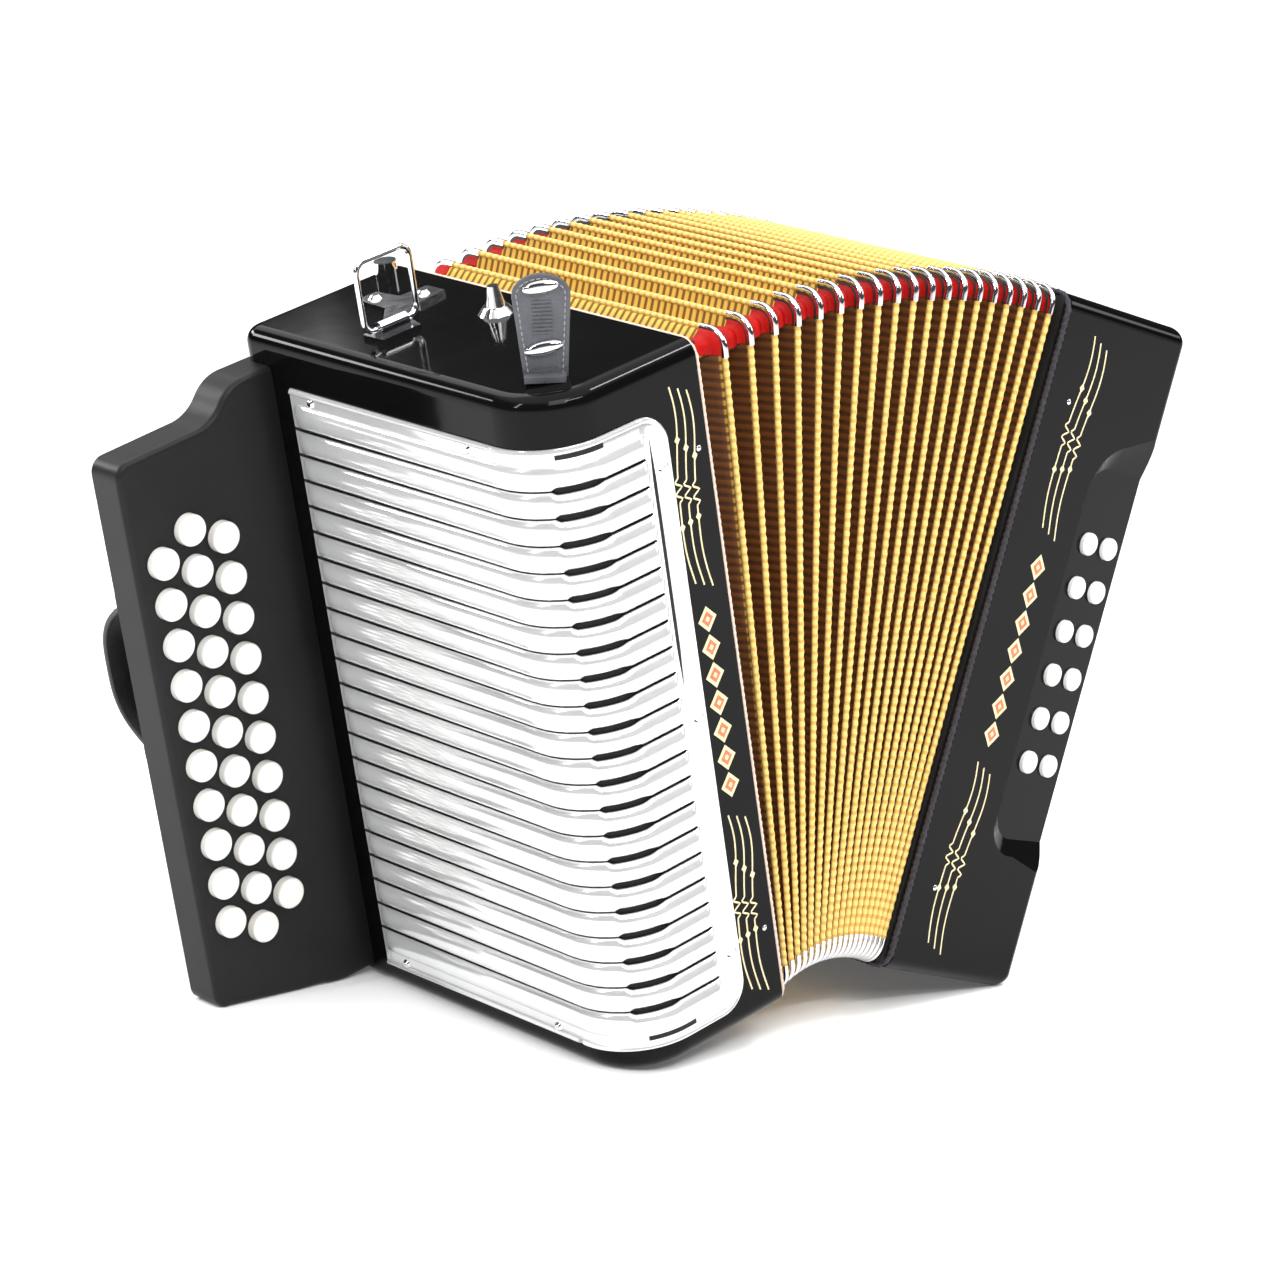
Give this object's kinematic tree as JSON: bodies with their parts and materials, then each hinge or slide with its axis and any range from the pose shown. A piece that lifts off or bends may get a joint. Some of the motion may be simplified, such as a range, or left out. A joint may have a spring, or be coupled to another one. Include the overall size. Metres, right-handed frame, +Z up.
{
  "type": "button accordion",
  "caption": "Diatonic button accordion: two lacquered end boxes on a fanned bellows, with fingerboard, chrome grille, sprung buttons and straps.",
  "frame": {"origin": "on the ground under the middle of the standing instrument's overall box", "axes": "+Z up, +X from the treble end to the bass end, +Y from the front to the back; both ends lean outwards, so the bellows stand fanned open at the top"},
  "size_m": [0.4736, 0.2188, 0.3546],
  "materials": {
    "lacquer": "wood under thick gloss black lacquer",
    "grille": "polished chrome sheet",
    "fittings": "polished",
    "fingerboard": "fine satin black",
    "treble_buttons": "ivory white, polished",
    "bass_buttons": "white, polished",
    "air_button": "ivory white, polished",
    "strap_leather": "black grained leather",
    "reed_wood": "bare spruce",
    "frame_wood": "black stained",
    "bellows_cloth": "gold ribbed cloth on card, red leather gussets"
  },
  "bodies": {
    "treble_end": {"treble_case": "lacquer", "treble_grille": "grille", "grille_screws": "fittings", "fingerboard": "fingerboard", "thumb_strap": "strap_leather", "treble_reed_blocks": "reed_wood", "treble_bellows_frame": "frame_wood", "bellows_pleats": "bellows_cloth", "bellows_corners": "fittings", "strap_hardware": "fittings", "bellows_strap": "strap_leather"},
    "bass_end": {"bass_case": "lacquer", "bass_bellows_frame": "frame_wood", "bass_reed_blocks": "reed_wood", "bass_strap_set": "strap_leather"},
    "bail": {"strap_bail": "fittings"},
    "air_button": {"air_button": "air_button"},
    "bass_button_01": {"bass_button_01": "bass_buttons"},
    "bass_button_02": {"bass_button_02": "bass_buttons"},
    "bass_button_03": {"bass_button_03": "bass_buttons"},
    "bass_button_04": {"bass_button_04": "bass_buttons"},
    "bass_button_05": {"bass_button_05": "bass_buttons"},
    "bass_button_06": {"bass_button_06": "bass_buttons"},
    "bass_button_07": {"bass_button_07": "bass_buttons"},
    "bass_button_08": {"bass_button_08": "bass_buttons"},
    "bass_button_09": {"bass_button_09": "bass_buttons"},
    "bass_button_10": {"bass_button_10": "bass_buttons"},
    "bass_button_11": {"bass_button_11": "bass_buttons"},
    "bass_button_12": {"bass_button_12": "bass_buttons"},
    "treble_button_01": {"treble_button_01": "treble_buttons"},
    "treble_button_02": {"treble_button_02": "treble_buttons"},
    "treble_button_03": {"treble_button_03": "treble_buttons"},
    "treble_button_04": {"treble_button_04": "treble_buttons"},
    "treble_button_05": {"treble_button_05": "treble_buttons"},
    "treble_button_06": {"treble_button_06": "treble_buttons"},
    "treble_button_07": {"treble_button_07": "treble_buttons"},
    "treble_button_08": {"treble_button_08": "treble_buttons"},
    "treble_button_09": {"treble_button_09": "treble_buttons"},
    "treble_button_10": {"treble_button_10": "treble_buttons"},
    "treble_button_11": {"treble_button_11": "treble_buttons"},
    "treble_button_12": {"treble_button_12": "treble_buttons"},
    "treble_button_13": {"treble_button_13": "treble_buttons"},
    "treble_button_14": {"treble_button_14": "treble_buttons"},
    "treble_button_15": {"treble_button_15": "treble_buttons"},
    "treble_button_16": {"treble_button_16": "treble_buttons"},
    "treble_button_17": {"treble_button_17": "treble_buttons"},
    "treble_button_18": {"treble_button_18": "treble_buttons"},
    "treble_button_19": {"treble_button_19": "treble_buttons"},
    "treble_button_20": {"treble_button_20": "treble_buttons"},
    "treble_button_21": {"treble_button_21": "treble_buttons"},
    "treble_button_22": {"treble_button_22": "treble_buttons"},
    "treble_button_23": {"treble_button_23": "treble_buttons"},
    "treble_button_24": {"treble_button_24": "treble_buttons"},
    "treble_button_25": {"treble_button_25": "treble_buttons"},
    "treble_button_26": {"treble_button_26": "treble_buttons"},
    "treble_button_27": {"treble_button_27": "treble_buttons"},
    "treble_button_28": {"treble_button_28": "treble_buttons"},
    "treble_button_29": {"treble_button_29": "treble_buttons"},
    "treble_button_30": {"treble_button_30": "treble_buttons"},
    "treble_button_31": {"treble_button_31": "treble_buttons"}
  },
  "joints": [
    {"name": "bail_swing", "type": "hinge", "parent": "treble_end", "child": "bail", "pos_m": [-0.13498, 0.0184, 0.31086], "axis": [0.9703, 0, 0.2419], "range_deg": [-80, 80]},
    {"name": "bellows_fan", "type": "hinge", "parent": "treble_end", "child": "bass_end", "pos_m": [0.03809, -0.0076, 0.02236], "axis": [0, 1, 0], "range_deg": [-31, 24], "deforming": ["bellows_pleats", "bellows_corners"]},
    {"name": "button_air_press", "type": "slide", "parent": "bass_end", "child": "air_button", "axis": [0, -1, 0], "range_m": [0, 0.004], "stiffness_N_per_m": 300, "springref_m": -0.004},
    {"name": "button_bass_01_press", "type": "slide", "parent": "bass_end", "child": "bass_button_01", "axis": [-0.0667, 0.9976, 0.0204], "range_m": [0, 0.0022], "stiffness_N_per_m": 250, "springref_m": -0.003},
    {"name": "button_bass_02_press", "type": "slide", "parent": "bass_end", "child": "bass_button_02", "axis": [-0.0667, 0.9976, 0.0204], "range_m": [0, 0.0022], "stiffness_N_per_m": 250, "springref_m": -0.003},
    {"name": "button_bass_03_press", "type": "slide", "parent": "bass_end", "child": "bass_button_03", "axis": [-0.0667, 0.9976, 0.0204], "range_m": [0, 0.0022], "stiffness_N_per_m": 250, "springref_m": -0.003},
    {"name": "button_bass_04_press", "type": "slide", "parent": "bass_end", "child": "bass_button_04", "axis": [-0.0667, 0.9976, 0.0204], "range_m": [0, 0.0022], "stiffness_N_per_m": 250, "springref_m": -0.003},
    {"name": "button_bass_05_press", "type": "slide", "parent": "bass_end", "child": "bass_button_05", "axis": [-0.0667, 0.9976, 0.0204], "range_m": [0, 0.0022], "stiffness_N_per_m": 250, "springref_m": -0.003},
    {"name": "button_bass_06_press", "type": "slide", "parent": "bass_end", "child": "bass_button_06", "axis": [-0.0667, 0.9976, 0.0204], "range_m": [0, 0.0022], "stiffness_N_per_m": 250, "springref_m": -0.003},
    {"name": "button_bass_07_press", "type": "slide", "parent": "bass_end", "child": "bass_button_07", "axis": [-0.0667, 0.9976, 0.0204], "range_m": [0, 0.0022], "stiffness_N_per_m": 250, "springref_m": -0.003},
    {"name": "button_bass_08_press", "type": "slide", "parent": "bass_end", "child": "bass_button_08", "axis": [-0.0667, 0.9976, 0.0204], "range_m": [0, 0.0022], "stiffness_N_per_m": 250, "springref_m": -0.003},
    {"name": "button_bass_09_press", "type": "slide", "parent": "bass_end", "child": "bass_button_09", "axis": [-0.0667, 0.9976, 0.0204], "range_m": [0, 0.0022], "stiffness_N_per_m": 250, "springref_m": -0.003},
    {"name": "button_bass_10_press", "type": "slide", "parent": "bass_end", "child": "bass_button_10", "axis": [-0.0667, 0.9976, 0.0204], "range_m": [0, 0.0022], "stiffness_N_per_m": 250, "springref_m": -0.003},
    {"name": "button_bass_11_press", "type": "slide", "parent": "bass_end", "child": "bass_button_11", "axis": [-0.0667, 0.9976, 0.0204], "range_m": [0, 0.0022], "stiffness_N_per_m": 250, "springref_m": -0.003},
    {"name": "button_bass_12_press", "type": "slide", "parent": "bass_end", "child": "bass_button_12", "axis": [-0.0667, 0.9976, 0.0204], "range_m": [0, 0.0022], "stiffness_N_per_m": 250, "springref_m": -0.003},
    {"name": "button_treble_01_press", "type": "slide", "parent": "treble_end", "child": "treble_button_01", "axis": [0, 1, 0], "range_m": [0, 0.0035], "stiffness_N_per_m": 200, "springref_m": -0.003},
    {"name": "button_treble_02_press", "type": "slide", "parent": "treble_end", "child": "treble_button_02", "axis": [0, 1, 0], "range_m": [0, 0.0035], "stiffness_N_per_m": 200, "springref_m": -0.003},
    {"name": "button_treble_03_press", "type": "slide", "parent": "treble_end", "child": "treble_button_03", "axis": [0, 1, 0], "range_m": [0, 0.0035], "stiffness_N_per_m": 200, "springref_m": -0.003},
    {"name": "button_treble_04_press", "type": "slide", "parent": "treble_end", "child": "treble_button_04", "axis": [0, 1, 0], "range_m": [0, 0.0035], "stiffness_N_per_m": 200, "springref_m": -0.003},
    {"name": "button_treble_05_press", "type": "slide", "parent": "treble_end", "child": "treble_button_05", "axis": [0, 1, 0], "range_m": [0, 0.0035], "stiffness_N_per_m": 200, "springref_m": -0.003},
    {"name": "button_treble_06_press", "type": "slide", "parent": "treble_end", "child": "treble_button_06", "axis": [0, 1, 0], "range_m": [0, 0.0035], "stiffness_N_per_m": 200, "springref_m": -0.003},
    {"name": "button_treble_07_press", "type": "slide", "parent": "treble_end", "child": "treble_button_07", "axis": [0, 1, 0], "range_m": [0, 0.0035], "stiffness_N_per_m": 200, "springref_m": -0.003},
    {"name": "button_treble_08_press", "type": "slide", "parent": "treble_end", "child": "treble_button_08", "axis": [0, 1, 0], "range_m": [0, 0.0035], "stiffness_N_per_m": 200, "springref_m": -0.003},
    {"name": "button_treble_09_press", "type": "slide", "parent": "treble_end", "child": "treble_button_09", "axis": [0, 1, 0], "range_m": [0, 0.0035], "stiffness_N_per_m": 200, "springref_m": -0.003},
    {"name": "button_treble_10_press", "type": "slide", "parent": "treble_end", "child": "treble_button_10", "axis": [0, 1, 0], "range_m": [0, 0.0035], "stiffness_N_per_m": 200, "springref_m": -0.003},
    {"name": "button_treble_11_press", "type": "slide", "parent": "treble_end", "child": "treble_button_11", "axis": [0, 1, 0], "range_m": [0, 0.0035], "stiffness_N_per_m": 200, "springref_m": -0.003},
    {"name": "button_treble_12_press", "type": "slide", "parent": "treble_end", "child": "treble_button_12", "axis": [0, 1, 0], "range_m": [0, 0.0035], "stiffness_N_per_m": 200, "springref_m": -0.003},
    {"name": "button_treble_13_press", "type": "slide", "parent": "treble_end", "child": "treble_button_13", "axis": [0, 1, 0], "range_m": [0, 0.0035], "stiffness_N_per_m": 200, "springref_m": -0.003},
    {"name": "button_treble_14_press", "type": "slide", "parent": "treble_end", "child": "treble_button_14", "axis": [0, 1, 0], "range_m": [0, 0.0035], "stiffness_N_per_m": 200, "springref_m": -0.003},
    {"name": "button_treble_15_press", "type": "slide", "parent": "treble_end", "child": "treble_button_15", "axis": [0, 1, 0], "range_m": [0, 0.0035], "stiffness_N_per_m": 200, "springref_m": -0.003},
    {"name": "button_treble_16_press", "type": "slide", "parent": "treble_end", "child": "treble_button_16", "axis": [0, 1, 0], "range_m": [0, 0.0035], "stiffness_N_per_m": 200, "springref_m": -0.003},
    {"name": "button_treble_17_press", "type": "slide", "parent": "treble_end", "child": "treble_button_17", "axis": [0, 1, 0], "range_m": [0, 0.0035], "stiffness_N_per_m": 200, "springref_m": -0.003},
    {"name": "button_treble_18_press", "type": "slide", "parent": "treble_end", "child": "treble_button_18", "axis": [0, 1, 0], "range_m": [0, 0.0035], "stiffness_N_per_m": 200, "springref_m": -0.003},
    {"name": "button_treble_19_press", "type": "slide", "parent": "treble_end", "child": "treble_button_19", "axis": [0, 1, 0], "range_m": [0, 0.0035], "stiffness_N_per_m": 200, "springref_m": -0.003},
    {"name": "button_treble_20_press", "type": "slide", "parent": "treble_end", "child": "treble_button_20", "axis": [0, 1, 0], "range_m": [0, 0.0035], "stiffness_N_per_m": 200, "springref_m": -0.003},
    {"name": "button_treble_21_press", "type": "slide", "parent": "treble_end", "child": "treble_button_21", "axis": [0, 1, 0], "range_m": [0, 0.0035], "stiffness_N_per_m": 200, "springref_m": -0.003},
    {"name": "button_treble_22_press", "type": "slide", "parent": "treble_end", "child": "treble_button_22", "axis": [0, 1, 0], "range_m": [0, 0.0035], "stiffness_N_per_m": 200, "springref_m": -0.003},
    {"name": "button_treble_23_press", "type": "slide", "parent": "treble_end", "child": "treble_button_23", "axis": [0, 1, 0], "range_m": [0, 0.0035], "stiffness_N_per_m": 200, "springref_m": -0.003},
    {"name": "button_treble_24_press", "type": "slide", "parent": "treble_end", "child": "treble_button_24", "axis": [0, 1, 0], "range_m": [0, 0.0035], "stiffness_N_per_m": 200, "springref_m": -0.003},
    {"name": "button_treble_25_press", "type": "slide", "parent": "treble_end", "child": "treble_button_25", "axis": [0, 1, 0], "range_m": [0, 0.0035], "stiffness_N_per_m": 200, "springref_m": -0.003},
    {"name": "button_treble_26_press", "type": "slide", "parent": "treble_end", "child": "treble_button_26", "axis": [0, 1, 0], "range_m": [0, 0.0035], "stiffness_N_per_m": 200, "springref_m": -0.003},
    {"name": "button_treble_27_press", "type": "slide", "parent": "treble_end", "child": "treble_button_27", "axis": [0, 1, 0], "range_m": [0, 0.0035], "stiffness_N_per_m": 200, "springref_m": -0.003},
    {"name": "button_treble_28_press", "type": "slide", "parent": "treble_end", "child": "treble_button_28", "axis": [0, 1, 0], "range_m": [0, 0.0035], "stiffness_N_per_m": 200, "springref_m": -0.003},
    {"name": "button_treble_29_press", "type": "slide", "parent": "treble_end", "child": "treble_button_29", "axis": [0, 1, 0], "range_m": [0, 0.0035], "stiffness_N_per_m": 200, "springref_m": -0.003},
    {"name": "button_treble_30_press", "type": "slide", "parent": "treble_end", "child": "treble_button_30", "axis": [0, 1, 0], "range_m": [0, 0.0035], "stiffness_N_per_m": 200, "springref_m": -0.003},
    {"name": "button_treble_31_press", "type": "slide", "parent": "treble_end", "child": "treble_button_31", "axis": [0, 1, 0], "range_m": [0, 0.0035], "stiffness_N_per_m": 200, "springref_m": -0.003}
  ]
}
